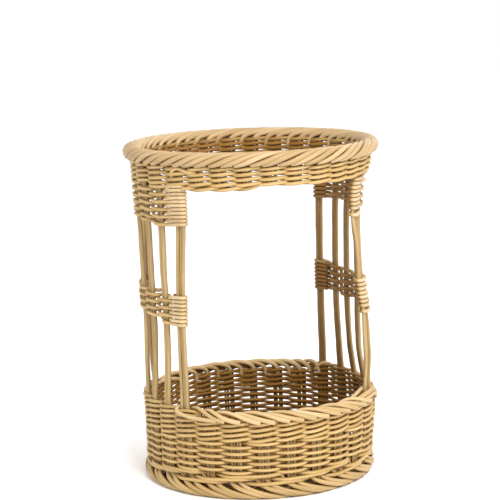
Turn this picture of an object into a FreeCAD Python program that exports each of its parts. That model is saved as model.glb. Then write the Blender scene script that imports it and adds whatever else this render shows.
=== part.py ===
import FreeCAD, Part
import math
import os
import Sketcher
from FreeCAD import Vector, Placement, Rotation

# Round bread basket of woven cane, millimetres, +Z up, origin on the floor under its centre.
# The two open windows face -Y and +Y, the two panels of uprights stand at -X and +X.
# Stake groups stand every 360/26 degrees; group 0 is the middle of the -Y window and numbers go round towards +X.
# The upper band has its own eight groups over each window, a little closer together.

doc = FreeCAD.newDocument("bread_basket")
sheet = doc.addObject("Spreadsheet::Sheet", "Params")

CELLS = [
    # cane sizes
    ("stake_dia", 4.6, "diameter of the upright stakes"),
    ("weaver_dia", 3.5, "diameter of the weavers"),
    ("stake_clear", 0.1, "clearance of a stake in its channel, on diameter"),
    ("pair_pitch", 5.1, "distance between the two stakes of a pair"),
    ("group_count", 26, "stake groups round the basket"),
    ("band_groups", 8, "stake groups of the upper band over one window"),
    # flare of the wall: radius of the stake circle at the base level, and its growth per mm of height
    ("base_level", 10.0, "height at which the stake circle has base_circle radius"),
    ("base_circle", 120.5, "radius of the stake circle at base_level"),
    ("flare", 0.01893, "growth of the stake circle's radius per mm of height"),
    ("wall_half", 5.75, "half the woven wall's thickness"),
    ("rib_radius", 0.52, "radius of one course's rib, as a share of the course's height"),
    ("rib_depth", 0.377, "how far a rib stands out of the wall, as a share of the course's height"),
    # foot
    ("foot_major", 120.4, "radius of the foot border's centre circle"),
    ("foot_tube", 8.0, "radius of the foot border's section"),
    ("foot_centre", 7.4, "height of the foot border's centre"),
    ("stake_foot", 6.0, "height of the stakes' lower ends, inside the foot border"),
    # lower wall
    ("bottom_wale_z", 17.6, "bottom of the first wale course"),
    ("bottom_wale_step", 3.65, "height of one bottom wale course"),
    ("pairing_z", 28.6, "bottom of the pairing courses"),
    ("pairing_step", 6.4, "height of one pairing course"),
    ("top_wale_z", 60.65, "bottom of the top wale courses"),
    ("top_wale_step", 5.6, "height of one top wale course"),
    ("panel_foot_z", 83.1, "bottom of the courses that finish the wall under a panel"),
    ("panel_foot_step", 4.8, "height of one of those courses"),
    ("sill_centre", 90.3, "height of the sill border's centre"),
    ("sill_tube", 7.0, "radius of the sill border's section"),
    ("sill_major", 122.0, "radius of the sill border's centre circle"),
    ("sill_angle", 105.0, "angle that a sill border spans"),
    ("sill_stake_top", 90.0, "height of the window stakes' upper ends"),
    # uprights panel
    ("panel_angle", 75.0, "angle of the courses under a panel, with its edge stakes"),
    ("weave_angle", 61.2, "angle of the woven courses between a panel's edge wraps"),
    ("mid_z", 182.0, "bottom of the middle band"),
    ("mid_step", 8.3, "height of one double course of the middle band"),
    ("mid_height", 33.2, "height of the middle band's edge wraps"),
    ("shoulder_z", 291.2, "bottom of the shoulder weave"),
    ("shoulder_step", 8.0, "height of one double course of the shoulder"),
    ("shoulder_height", 39.8, "height of the shoulder's edge wraps"),
    # upper band and rim
    ("band_z", 331.3, "bottom of the upper band"),
    ("band_step", 5.55, "height of one pairing course of the upper band"),
    ("rim_major", 132.0, "radius of the rim border's centre circle"),
    ("rim_tube", 8.0, "radius of the rim border's section"),
    ("rim_centre", 362.0, "height of the rim border's centre"),
    ("stake_top", 360.0, "height of the long stakes' upper ends, inside the rim border"),
    # base
    ("stick_dia", 4.8, "diameter of the base sticks"),
    ("stick_pitch", 5.0, "distance between the sticks where they cross"),
    ("base_z", 20.0, "height of the base sticks' centre"),
    ("stick_end", 114.6, "radius that the base sticks reach"),
    ("base_weave_r", 37.6, "inner radius of the base weave"),
    ("base_weave_step", 12.85, "width of one double course of the base"),
    ("tie_inner", 26.0, "inner radius of the binding round the crossed sticks"),
    ("tie_outer", 37.4, "outer radius of that binding"),
    ("tie_half", 7.4, "half the binding's height"),
    ("base_rib", 1.0, "radius of one base course's rib, as a share of the course's width"),
    ("base_neck", 3.9, "half the woven base's thickness between two courses"),
]
P = {}
for row, (alias, value, note) in enumerate(CELLS, 1):
    sheet.set("A%d" % row, "'" + note)
    sheet.set("B%d" % row, str(value))
    sheet.setAlias("B%d" % row, alias)
    P[alias] = float(value)
doc.recompute()
for alias in P:
    P[alias] = float(getattr(sheet, alias))

STEP = 360.0 / P["group_count"]


def circle_r(z):
    """Radius of the stake circle at height z."""
    return P["base_circle"] + (z - P["base_level"]) * P["flare"]


R_EXPR = "(Params.base_circle + (%s - Params.base_level) * Params.flare)"


def radial(theta):
    a = math.radians(theta)
    return Vector(math.sin(a), -math.cos(a), 0), Vector(math.cos(a), math.sin(a), 0)


def bind(obj, prop, expression):
    obj.setExpression(prop, expression)
    return obj


def origin_plane(body, role):
    return next(f for f in body.Origin.OriginFeatures if f.Role == role)


# ---- rods ---------------------------------------------------------------------------------

def rod(name, theta, offset, z_low, z_high, dia="Params.stake_dia"):
    """A straight stake that leans out with the wall: a cylinder whose size comes from the sheet."""
    low, high = P[z_low], P[z_high]
    out, along = radial(theta)
    foot = out * circle_r(low) + along * offset + Vector(0, 0, low)
    head = out * circle_r(high) + along * offset + Vector(0, 0, high)
    cylinder = doc.addObject("Part::Cylinder", name)
    bind(cylinder, "Radius", "%s / 2" % dia)
    bind(cylinder, "Height", "(Params.%s - Params.%s) * sqrt(1 + Params.flare ^ 2)" % (z_high, z_low))
    cylinder.Placement = Placement(foot, Rotation(Vector(0, 0, 1), head - foot))
    return cylinder


def compound(label, members):
    group = doc.addObject("Part::Compound", label)
    group.Links = members
    group.Label = label
    return group


def pair(prefix, k, z_low, z_high, dia="Params.stake_dia", step=STEP):
    half = P["pair_pitch"] / 2
    name = "%s_%s" % (prefix, ("%g" % k).replace(".", "_").replace("-", "m"))
    return [rod("%s_%s" % (name, side), k * step, s * half, z_low, z_high, dia) for side, s in (("a", -1), ("b", 1))]


# Group numbers: windows hold 7 short groups each, panels hold 6 long groups each.
FRONT = [-3, -2, -1, 0, 1, 2, 3]
BACK = [10, 11, 12, 13, 14, 15, 16]
RIGHT = [4, 5, 6, 7, 8, 9]
LEFT = [-4, -5, -6, -7, -8, -9]
# The band's groups over a window share out the angle between the window's two edge groups.
BAND_STEP = 8 * STEP / (P["band_groups"] + 1)
FRONT_BAND = [i - (P["band_groups"] - 1) / 2 for i in range(int(P["band_groups"]))]
BACK_BAND = [180 / BAND_STEP + i for i in FRONT_BAND]

NODES = {}  # label: object whose Shape is written


def node(label, obj):
    obj.Label = label
    NODES[label] = obj
    return obj


long_stakes, sill_stakes, band_stakes = {}, {}, {}
for side, groups in (("right", RIGHT), ("left", LEFT)):
    for i, k in enumerate(groups, 1):
        label = "%s_upright_pair_%d" % (side, i)
        long_stakes[label] = pair("%s_upright_%d" % (side, i), k, "stake_foot", "stake_top")
        node(label, compound(label, long_stakes[label]))
for side, groups, band in (("front", FRONT, FRONT_BAND), ("back", BACK, BACK_BAND)):
    label = "%s_window_stakes" % side
    sill_stakes[label] = [r for k in groups for r in pair(label, k, "stake_foot", "sill_stake_top")]
    node(label, compound(label, sill_stakes[label]))
    label = "%s_band_stakes" % side
    band_stakes[label] = [r for k in band for r in pair(label, k, "band_z", "stake_top", step=BAND_STEP)]
    node(label, compound(label, band_stakes[label]))

# Channels that the stakes run in: the same rods with the clearance added.
CHANNEL = "(Params.stake_dia + Params.stake_clear)"
low_tool = compound(
    "lower_channels",
    [r for k in FRONT + BACK for r in pair("low_channel", k, "stake_foot", "sill_stake_top", CHANNEL)]
    + [r for k in RIGHT + LEFT for r in pair("long_channel", k, "stake_foot", "stake_top", CHANNEL)],
)
high_tool = compound(
    "upper_channels",
    [r for k in FRONT_BAND + BACK_BAND for r in pair("high_channel", k, "band_z", "stake_top", CHANNEL, BAND_STEP)]
    + [r for k in RIGHT + LEFT for r in pair("tall_channel", k, "stake_foot", "stake_top", CHANNEL)],
)
right_tool = compound("right_channels", [r for k in RIGHT for r in pair("right_channel", k, "stake_foot", "stake_top", CHANNEL)])
left_tool = compound("left_channels", [r for k in LEFT for r in pair("left_channel", k, "stake_foot", "stake_top", CHANNEL)])


# ---- woven courses -------------------------------------------------------------------------

def slot_profile(sketch, centre_x, centre_y, width, height, exprs, upright=False):
    """A stadium: its two round ends face the inside and the outside of the wall, or up and down for the flat base.
    exprs are the four driving sizes as text: x and y of the centre, the distance between the ends' centres, the ends' radius."""
    r = (width if upright else height) / 2
    span = (height if upright else width) - 2 * r
    g0 = sketch.GeometryCount
    if upright:
        a, b = Vector(centre_x, centre_y - span / 2, 0), Vector(centre_x, centre_y + span / 2, 0)
        starts = ((math.pi, 2 * math.pi), (0.0, math.pi))
    else:
        a, b = Vector(centre_x - span / 2, centre_y, 0), Vector(centre_x + span / 2, centre_y, 0)
        starts = ((math.pi / 2, 3 * math.pi / 2), (-math.pi / 2, math.pi / 2))
    z = Vector(0, 0, 1)
    sketch.addGeometry(Part.ArcOfCircle(Part.Circle(a, z, r), *starts[0]), False)
    sketch.addGeometry(Part.ArcOfCircle(Part.Circle(b, z, r), *starts[1]), False)
    if upright:
        sketch.addGeometry(Part.LineSegment(a + Vector(r, 0, 0), b + Vector(r, 0, 0)), False)
        sketch.addGeometry(Part.LineSegment(b + Vector(-r, 0, 0), a + Vector(-r, 0, 0)), False)
    else:
        sketch.addGeometry(Part.LineSegment(a + Vector(0, -r, 0), b + Vector(0, -r, 0)), False)
        sketch.addGeometry(Part.LineSegment(b + Vector(0, r, 0), a + Vector(0, r, 0)), False)
    C = Sketcher.Constraint
    # arc a ends where line 1 starts, line 1 ends where arc b starts, and so on round
    sketch.addConstraint(C("Tangent", g0, 2, g0 + 2, 1))
    sketch.addConstraint(C("Tangent", g0 + 2, 2, g0 + 1, 1))
    sketch.addConstraint(C("Tangent", g0 + 1, 2, g0 + 3, 1))
    sketch.addConstraint(C("Tangent", g0 + 3, 2, g0, 1))
    sketch.addConstraint(C("Vertical" if upright else "Horizontal", g0 + 2))
    radius = sketch.addConstraint(C("Radius", g0, r))
    if upright:
        between = sketch.addConstraint(C("DistanceY", g0, 3, g0 + 1, 3, span))
    else:
        between = sketch.addConstraint(C("DistanceX", g0, 3, g0 + 1, 3, span))
    cx = sketch.addConstraint(C("DistanceX", -1, 1, g0, 3, a.x))
    cy = sketch.addConstraint(C("DistanceY", -1, 1, g0, 3, a.y))
    ex, ey, espan, erad = exprs
    sketch.setExpression("Constraints[%d]" % radius, erad)
    sketch.setExpression("Constraints[%d]" % between, espan)
    sketch.setExpression("Constraints[%d]" % cx, ex if upright else "(%s) - (%s) / 2" % (ex, espan))
    sketch.setExpression("Constraints[%d]" % cy, "(%s) - (%s) / 2" % (ey, espan) if upright else ey)


def new_body(name):
    body = doc.addObject("PartDesign::Body", name)
    body.AllowCompound = True
    return body


def revolve(body, sketch, angle_expr=None):
    turn = body.newObject("PartDesign::Revolution", body.Name + "_turn")
    turn.Profile = sketch
    turn.ReferenceAxis = (sketch, ["V_Axis"])
    turn.Refine = False
    if angle_expr:
        turn.Midplane = True
        bind(turn, "Angle", angle_expr)
    else:
        turn.Angle = 360.0
    sketch.Visibility = False
    return turn


def chain(sketch, points, bulges, exprs, radius_expr):
    """A closed outline: arcs that meet at the given points, and a straight line where bulges holds None.
    The outline runs counter-clockwise. Each point's x and y, and each arc's radius, is driven by an expression."""
    C, n, first = Sketcher.Constraint, len(points), sketch.GeometryCount
    for i in range(n):
        p, q, r = points[i], points[(i + 1) % n], bulges[i]
        if r is None:
            sketch.addGeometry(Part.LineSegment(p, q), False)
            continue
        half = (q - p).Length / 2
        left = Vector(0, 0, 1).cross(q - p).normalize()
        centre = (p + q) * 0.5 + left * math.sqrt(r * r - half * half)
        start = math.atan2((p - centre).y, (p - centre).x)
        end = math.atan2((q - centre).y, (q - centre).x)
        if end < start:
            end += 2 * math.pi
        sketch.addGeometry(Part.ArcOfCircle(Part.Circle(centre, Vector(0, 0, 1), r), start, end), False)
    for i in range(n):
        sketch.addConstraint(C("Coincident", first + i, 2, first + (i + 1) % n, 1))
    for i in range(n):
        for kind, value, expr in (("DistanceX", points[i].x, exprs[i][0]), ("DistanceY", points[i].y, exprs[i][1])):
            c = sketch.addConstraint(C(kind, -1, 1, first + i, 1, value))
            sketch.setExpression("Constraints[%d]" % c, expr)
        if bulges[i] is not None:
            c = sketch.addConstraint(C("Radius", first + i, bulges[i]))
            sketch.setExpression("Constraints[%d]" % c, radius_expr)


def courses(name, z_cell, step_cell, count, angle_expr=None, turned=0.0):
    """A band of weaving, full circle or an arc about +X: a ribbed wall, one rib for each course, that follows the wall's flare."""
    body = new_body(name)
    sketch = body.newObject("Sketcher::SketchObject", name + "_section")
    sketch.AttachmentSupport = [(origin_plane(body, "XZ_Plane"), "")]
    sketch.MapMode = "FlatFace"
    step = P[step_cell]
    rib = "(Params.rib_radius * Params.%s)" % step_cell
    neck = P["wall_half"] - P["rib_depth"] * step
    neck_x = "(Params.wall_half - Params.rib_depth * Params.%s)" % step_cell
    levels = [P[z_cell] + i * step for i in range(count + 1)]
    words = ["(Params.%s + %d * Params.%s)" % (z_cell, i, step_cell) for i in range(count + 1)]
    outer = [(Vector(circle_r(z) + neck, z, 0), (R_EXPR % w + " + " + neck_x, w)) for z, w in zip(levels, words)]
    inner = [(Vector(circle_r(z) - neck, z, 0), (R_EXPR % w + " - " + neck_x, w)) for z, w in zip(levels, words)]
    ring = outer + inner[::-1]
    bulge = P["rib_radius"] * step
    chain(sketch, [p for p, _ in ring], [bulge] * count + [None] + [bulge] * count + [None], [e for _, e in ring], rib)
    revolve(body, sketch, angle_expr)
    if turned:
        body.Placement = Placement(Vector(0, 0, 0), Rotation(Vector(0, 0, 1), turned))
    return body


def cut(label, base, tool):
    made = doc.addObject("Part::Cut", label)
    made.Base = base
    made.Tool = tool
    made.Refine = False
    return node(label, made)


cut("bottom_wale", courses("bottom_wale_courses", "bottom_wale_z", "bottom_wale_step", 3), low_tool)
cut("lower_wall_weave", courses("lower_wall_courses", "pairing_z", "pairing_step", 5), low_tool)
cut("top_wale", courses("top_wale_courses", "top_wale_z", "top_wale_step", 4), low_tool)
cut("upper_band_weave", courses("upper_band_courses", "band_z", "band_step", 4), high_tool)
for side, turned, tool in (("right", 0.0, right_tool), ("left", 180.0, left_tool)):
    cut("%s_panel_foot_weave" % side, courses(side + "_foot_courses", "panel_foot_z", "panel_foot_step", 2, "Params.panel_angle", turned), tool)
    cut("%s_mid_weave" % side, courses(side + "_mid_courses", "mid_z", "mid_step", 4, "Params.weave_angle", turned), tool)
    cut("%s_shoulder_weave" % side, courses(side + "_shoulder_courses", "shoulder_z", "shoulder_step", 5, "Params.weave_angle", turned), tool)


# ---- wraps round a panel's edge stakes --------------------------------------------------------

def wrap(label, theta, z_cell, height_cell):
    """A sleeve wound round the two stakes of an edge pair: a slot-shaped tube, leaning with the stakes."""
    body = new_body(label + "_body")
    sketch = body.newObject("Sketcher::SketchObject", label + "_section")
    sketch.AttachmentSupport = [(origin_plane(body, "XY_Plane"), "")]
    sketch.MapMode = "FlatFace"
    r = P["stake_dia"] / 2 + P["weaver_dia"] - 0.05
    slot_profile(
        sketch, 0, 0, P["pair_pitch"] + 2 * r, 2 * r,
        ("0", "0", "Params.pair_pitch", "Params.stake_dia / 2 + Params.weaver_dia - 0.05"),
    )
    for s in (-1, 1):
        g = sketch.addGeometry(Part.Circle(Vector(s * P["pair_pitch"] / 2, 0, 0), Vector(0, 0, 1), (P["stake_dia"] + P["stake_clear"]) / 2), False)
        c = sketch.addConstraint(Sketcher.Constraint("Radius", g, (P["stake_dia"] + P["stake_clear"]) / 2))
        sketch.setExpression("Constraints[%d]" % c, "(Params.stake_dia + Params.stake_clear) / 2")
        sketch.addConstraint(Sketcher.Constraint("PointOnObject", g, 3, -1))
        if s < 0:
            c = sketch.addConstraint(Sketcher.Constraint("DistanceX", g, 3, -1, 1, P["pair_pitch"] / 2))
        else:
            c = sketch.addConstraint(Sketcher.Constraint("DistanceX", -1, 1, g, 3, P["pair_pitch"] / 2))
        sketch.setExpression("Constraints[%d]" % c, "Params.pair_pitch / 2")
    pad = body.newObject("PartDesign::Pad", label + "_pad")
    pad.Profile = sketch
    bind(pad, "Length", "Params." + height_cell)
    sketch.Visibility = False
    out, _ = radial(theta)
    z = P[z_cell]
    lean = Rotation(Vector(0, 0, 1), out * P["flare"] + Vector(0, 0, 1))
    body.Placement = Placement(out * circle_r(z) + Vector(0, 0, z), lean * Rotation(Vector(0, 0, 1), theta))
    return node(label, body)


for side, edges in (("right", (4, 9)), ("left", (-4, -9))):
    for face, k in zip(("front", "back"), edges):
        wrap("%s_mid_wrap_%s" % (side, face), k * STEP, "mid_z", "mid_height")
        wrap("%s_shoulder_wrap_%s" % (side, face), k * STEP, "shoulder_z", "shoulder_height")


# ---- borders ----------------------------------------------------------------------------------

def torus(name, major, tube, centre, sweep=None, turned=0.0):
    ring = doc.addObject("Part::Torus", name)
    bind(ring, "Radius1", "Params." + major)
    bind(ring, "Radius2", "Params." + tube)
    angle = 0.0
    if sweep:
        bind(ring, "Angle3", "Params." + sweep)
        angle = turned - P[sweep] / 2
    ring.Placement = Placement(Vector(0, 0, P[centre]), Rotation(Vector(0, 0, 1), angle))
    bind(ring, "Placement.Base.z", "Params." + centre)
    return ring


cut("rim_border", torus("rim_ring", "rim_major", "rim_tube", "rim_centre"), high_tool)

foot_ring = torus("foot_ring", "foot_major", "foot_tube", "foot_centre")
floor_block = doc.addObject("Part::Box", "floor_block")
for prop in ("Length", "Width"):
    bind(floor_block, prop, "4 * Params.foot_major")
bind(floor_block, "Height", "2 * Params.foot_tube")
floor_block.Placement = Placement(Vector(-2 * P["foot_major"], -2 * P["foot_major"], -2 * P["foot_tube"]), Rotation())
flat_foot = doc.addObject("Part::Cut", "foot_with_flat")
flat_foot.Base, flat_foot.Tool, flat_foot.Refine = foot_ring, floor_block, False
cut("foot_border", flat_foot, low_tool)

for side, turned in (("front", -90.0), ("back", 90.0)):
    cut("%s_sill_border" % side, torus(side + "_sill_ring", "sill_major", "sill_tube", "sill_centre", "sill_angle", turned), low_tool)


# ---- base -------------------------------------------------------------------------------------

def round_path(points, radii):
    """A wire through points: straight runs joined by tangent arcs of the given radii."""
    edges, last = [], points[0]
    for i in range(1, len(points) - 1):
        p, a, b = points[i], points[i - 1], points[i + 1]
        u, v = (p - a).normalize(), (b - p).normalize()
        turn = u.getAngle(v)
        if turn < 1e-4:
            continue
        cutback = radii[i - 1] * math.tan(turn / 2)
        s, e = p - u * cutback, p + v * cutback
        inward = (v - u).normalize()
        centre = p + inward * (radii[i - 1] / math.cos(turn / 2))
        mid = centre - inward * radii[i - 1]
        edges.append(Part.LineSegment(last, s).toShape())
        edges.append(Part.Arc(s, mid, e).toShape())
        last = e
    edges.append(Part.LineSegment(last, points[-1]).toShape())
    return Part.Wire(edges)


def stick(name, index, lane, level, turned):
    """A base stick: straight where the sticks cross, then fanned out to its own group angle."""
    u, phi = lane * P["stick_pitch"], math.radians(lane * STEP)
    bend = P["stick_pitch"] / math.radians(STEP) if abs(lane) < 1e-6 else u / math.sin(phi)
    zc = P["base_z"]
    half = [
        Vector(u, bend * math.cos(phi), level),
        Vector(math.sin(phi) * 38.0, math.cos(phi) * 38.0, 0),
        Vector(math.sin(phi) * P["stick_end"], math.cos(phi) * P["stick_end"], 0),
    ]
    points = [Vector(p.x, -p.y, p.z) for p in reversed(half)] + half
    turn = Rotation(Vector(0, 0, 1), turned)
    points = [turn.multVec(p) + Vector(0, 0, zc) for p in points]
    path = doc.addObject("Part::Feature", name + "_path")
    path.Shape = round_path(points, [24.0, 16.0, 16.0, 24.0])
    section = doc.addObject("Part::Circle", name + "_section")
    bind(section, "Radius", "Params.stick_dia / 2")
    section.Placement = Placement(points[0], Rotation(Vector(0, 0, 1), points[1] - points[0]))
    sweep = doc.addObject("Part::Sweep", name)
    sweep.Sections, sweep.Spine = [section], (path, [])
    sweep.Solid, sweep.Frenet = True, False
    print(name, "path length %.1f mm" % path.Shape.Length)
    return sweep


lengthwise = [stick("long_stick_%d" % i, i, i - 3, 2.5, 0.0) for i in range(7)]
crosswise = [stick("cross_stick_%d" % i, i, i - 2.5, -2.5, 90.0) for i in range(6)]
node("base_sticks_lengthwise", compound("base_sticks_lengthwise", lengthwise))
node("base_sticks_crosswise", compound("base_sticks_crosswise", crosswise))
stick_tool = compound("stick_channels", lengthwise + crosswise)

disc = new_body("base_courses")
disc_sketch = disc.newObject("Sketcher::SketchObject", "base_section")
disc_sketch.AttachmentSupport = [(origin_plane(disc, "XZ_Plane"), "")]
disc_sketch.MapMode = "FlatFace"
edge = ["(Params.base_weave_r + %d * Params.base_weave_step)" % i for i in range(7)]
edge_r = [P["base_weave_r"] + i * P["base_weave_step"] for i in range(7)]
under = [(Vector(r, P["base_z"] - P["base_neck"], 0), (w, "Params.base_z - Params.base_neck")) for r, w in zip(edge_r, edge)]
above = [(Vector(r, P["base_z"] + P["base_neck"], 0), (w, "Params.base_z + Params.base_neck")) for r, w in zip(edge_r, edge)]
ring = under + above[::-1]
bulge = P["base_rib"] * P["base_weave_step"]
chain(disc_sketch, [p for p, _ in ring], [bulge] * 6 + [None] + [bulge] * 6 + [None], [e for _, e in ring], "Params.base_rib * Params.base_weave_step")
revolve(disc, disc_sketch)
cut("base_weave", disc, stick_tool)

tie = new_body("tie_ring")
tie_sketch = tie.newObject("Sketcher::SketchObject", "tie_section")
tie_sketch.AttachmentSupport = [(origin_plane(tie, "XZ_Plane"), "")]
tie_sketch.MapMode = "FlatFace"
slot_profile(
    tie_sketch, (P["tie_inner"] + P["tie_outer"]) / 2, P["base_z"], P["tie_outer"] - P["tie_inner"], 2 * P["tie_half"],
    ("(Params.tie_inner + Params.tie_outer) / 2", "Params.base_z", "2 * Params.tie_half - (Params.tie_outer - Params.tie_inner)", "(Params.tie_outer - Params.tie_inner) / 2"),
    upright=True,
)
revolve(tie, tie_sketch)
cut("cross_binding", tie, stick_tool)

# ---- check and write ----------------------------------------------------------------------------

doc.recompute()
bad = [o.Name for o in doc.Objects if "Invalid" in o.State or "Error" in o.State]
if bad:
    raise SystemExit("failed objects: %s" % ", ".join(bad))
os.makedirs("parts", exist_ok=True)
for old in os.listdir("parts"):
    if old.endswith(".step"):
        os.remove(os.path.join("parts", old))
for label, obj in sorted(NODES.items()):
    shape = obj.Shape
    if shape.isNull() or not shape.isValid() or not shape.Solids:
        raise SystemExit("bad shape: " + label)
    shape.exportStep("parts/%s.step" % label)
    print("%-28s solids %3d  volume %9.0f mm3  z %.1f to %.1f" % (label, len(shape.Solids), shape.Volume, shape.BoundBox.ZMin, shape.BoundBox.ZMax))
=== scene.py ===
import math
import bpy
import numpy as np
from mathutils import Matrix


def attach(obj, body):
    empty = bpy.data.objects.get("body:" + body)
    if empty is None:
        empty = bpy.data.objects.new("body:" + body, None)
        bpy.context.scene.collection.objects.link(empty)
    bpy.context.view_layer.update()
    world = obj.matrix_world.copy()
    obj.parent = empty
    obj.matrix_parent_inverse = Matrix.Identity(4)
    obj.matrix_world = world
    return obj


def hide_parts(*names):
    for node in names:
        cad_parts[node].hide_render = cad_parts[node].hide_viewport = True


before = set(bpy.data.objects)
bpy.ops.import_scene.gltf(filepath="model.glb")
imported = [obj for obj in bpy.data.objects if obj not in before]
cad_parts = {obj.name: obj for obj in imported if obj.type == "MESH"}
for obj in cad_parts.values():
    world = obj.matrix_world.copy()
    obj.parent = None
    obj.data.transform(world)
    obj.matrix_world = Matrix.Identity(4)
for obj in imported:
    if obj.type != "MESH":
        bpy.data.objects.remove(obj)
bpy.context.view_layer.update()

# Every length below is in millimetres until a mesh is made. Angles run round the basket in degrees:
# 0 is the middle of the front window (-Y), 90 is +X, as in the CAD.
GROUPS = 26
STEP = 360.0 / GROUPS
VIEW = 16.1          # the camera stands this far round towards -X from the front window's middle
rng = np.random.default_rng(20240817)


def wall(z):
    """Radius of the stake circle at height z."""
    return 120.5 + (np.asarray(z, float) - 10.0) * 0.01893


def at(R, th, z):
    a = np.radians(th)
    return np.stack([R * np.sin(a), -R * np.cos(a), np.broadcast_to(z, np.shape(R * np.sin(a)))], -1)


# ---- the hand-made basket isn't a true cone: a smooth warp that every strand goes through ----------

def bump(x, centre, half):
    d = np.abs((x - centre + 180.0) % 360.0 - 180.0) / half
    return np.where(d < 1.0, np.cos(np.minimum(d, 1.0) * np.pi / 2) ** 2, 0.0)


def smooth_grid(angles, heights, rows):
    """A table of values at angles (columns) and heights (rows), spread over a fine grid and softened."""
    deg = np.arange(-180, 180, 1.0)
    zz = np.arange(0, 376, 2.0)
    table = np.array(rows, float)
    by_angle = np.array([np.interp(deg, angles, r, left=0, right=0) for r in table])
    fine = np.array([np.interp(zz, heights, by_angle[:, i]) for i in range(len(deg))]).T
    k = np.exp(-0.5 * (np.arange(-12, 13) / 4.5) ** 2)
    k /= k.sum()
    fine = np.array([np.convolve(np.pad(c, 12, mode="edge"), k, mode="valid") for c in fine.T]).T
    k2 = np.exp(-0.5 * (np.arange(-9, 10) / 3.0) ** 2)
    k2 /= k2.sum()
    return np.array([np.convolve(np.pad(r, 9, mode="wrap"), k2, mode="valid") for r in fine])


def look_up(grid, seen, z):
    u = (seen + 180.0) % 360.0
    v = np.clip(z / 2.0, 0, grid.shape[0] - 1.001)
    i, j = v.astype(int), u.astype(int) % 360
    fi, fj = v - i, u - u.astype(int)
    j2 = (j + 1) % 360
    return (grid[i, j] * (1 - fi) * (1 - fj) + grid[i + 1, j] * fi * (1 - fj) + grid[i, j2] * (1 - fi) * fj + grid[i + 1, j2] * fi * fj)


# angles as seen from the camera's side: 0 faces it, 90 is its right. Millimetres outwards, then degrees round.
OUT = smooth_grid(
    [-130, -108.5, -94.7, -80.8, -67, -53.1, -39.3, -25, 30, 50, 60, 71.5, 85.3, 99.2, 113, 127, 141, 158],
    [0, 15, 45, 65, 84, 96, 130, 180, 215, 250, 290, 322, 335, 346, 372],
    [
        [0, 0, 0, 0, 0, 0, 0, 0, 0, 0, 0, 0, 0, 0, 0, 0, 0, 0],
        [0, 0, 0, 0, 0, 0, 0, 0, 0, 0.3, 0.6, 1, 1, 1, 0.7, 0.3, 0, 0],
        [0, 0, 0, 0, 0, 0, 0, 0, 0, 1, 2.2, 3.4, 3.6, 3.2, 2, 1, 0, 0],
        [0, 0, 0, 0, 0, 0, 0, 0, 0, 1.5, 3, 4.6, 5.2, 4.2, 2.5, 1, 0, 0],
        [0, 0, 0, 0, 0, 0, 0, 0, 0, 1.5, 3, 4.9, 5.0, 2.5, 0.8, 0.2, 0, 0],
        [0, 0, 0, 0, 0, 0, 0, 0, 0, 1, 2.6, 4.4, 1.8, -1.0, -2.6, -1, 0, 0],
        [0, 0.6, -0.6, -0.8, -2, -1.5, -0.8, 0, 0, 1.0, 3, 6.4, 2.2, -7, -8, -4, -1, 0],
        [0, 0.8, -1.6, -2.3, -3.5, -2.5, -1, 0, 0, 0, 1.4, 3.2, -1.6, -8, -11, -7, -2.5, 0],
        [0, 0.8, -1.3, -1.6, -3, -2.5, -1, 0, 0, 0, -2, -4.7, -6.8, -7.4, -11, -7, -3, 0],
        [0, 0.8, -1.0, -1.4, -3, -2, -1, 0, 0, 0, -3, -6.2, -9.8, -9, -11.3, -7, -3, 0],
        [0, -0.3, -0.6, -0.9, -3, -2, -0.8, 0, 0, -0.5, -4.5, -9.6, -10.4, -9, -11, -6, -2.5, 0],
        [0, 0, -0.4, -0.6, -1.5, -1, -0.5, 0, 0, -0.5, -4.0, -10.2, -9.6, -8, -8, -4.5, -1.5, 0],
        [0, 0, 0, 0, 0, 0, 0, 0, 0, 0, -0.5, -2.5, -3, -3, -3, -1.5, -0.5, 0],
        [0, 0, 0, 0, 0, 0, 0, 0, 0, 0, 0, 0, 0, 0, 0, 0, 0, 0],
        [0, 0, 0, 0, 0, 0, 0, 0, 0, 0, 0, 0, 0, 0, 0, 0, 0, 0],
    ],
)
ROUND = smooth_grid(
    [-130, -108.5, -94.7, -80.8, -67, -53.1, -39.3, -20, 0, 50, 75, 100, 125],
    [0, 90, 130, 180, 215, 250, 290, 331, 356, 368, 372],
    [
        [0, 0, 0, 0, 0, 0, 0, 0, 0, 0, 0, 0, 0],
        [0, 0, 0, 0, -0.1, -0.1, -0.4, -0.2, 0, 0, 0, 0, 0],
        [1.2, 2.0, 0.6, 0.5, 1.4, 1.2, -0.7, -0.3, 0, 0, 0, 0, 0],
        [2.0, 3.6, 1.0, 0.9, 2.3, 2.1, -1.1, -0.4, 0, 0, -0.2, 0, 0],
        [2.0, 3.8, 1.0, 0.9, 2.3, 2.0, -0.1, 0, 0, 0, -0.4, 0, 0],
        [1.8, 3.2, 1.0, 0.9, 2.5, 2.0, 1.0, 0.5, 0, 0, -0.6, 0, 0],
        [1.0, 1.8, 0.8, 0.9, 2.5, 2.9, 2.9, 1.5, 0, -0.6, -3.6, -0.6, 0],
        [0, 0, 0.5, 1.5, 2.8, 3.2, 3.2, 2.0, 0.5, -0.9, -4.0, -1.1, 0],
        [0, 0, 0.4, 1.2, 2.2, 2.5, 2.5, 1.6, 0.4, -0.5, -1.2, -0.5, 0],
        [0, 0, 0, 0, 0, 0, 0, 0, 0, 0, 0, 0, 0],
        [0, 0, 0, 0, 0, 0, 0, 0, 0, 0, 0, 0, 0],
    ],
)


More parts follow.
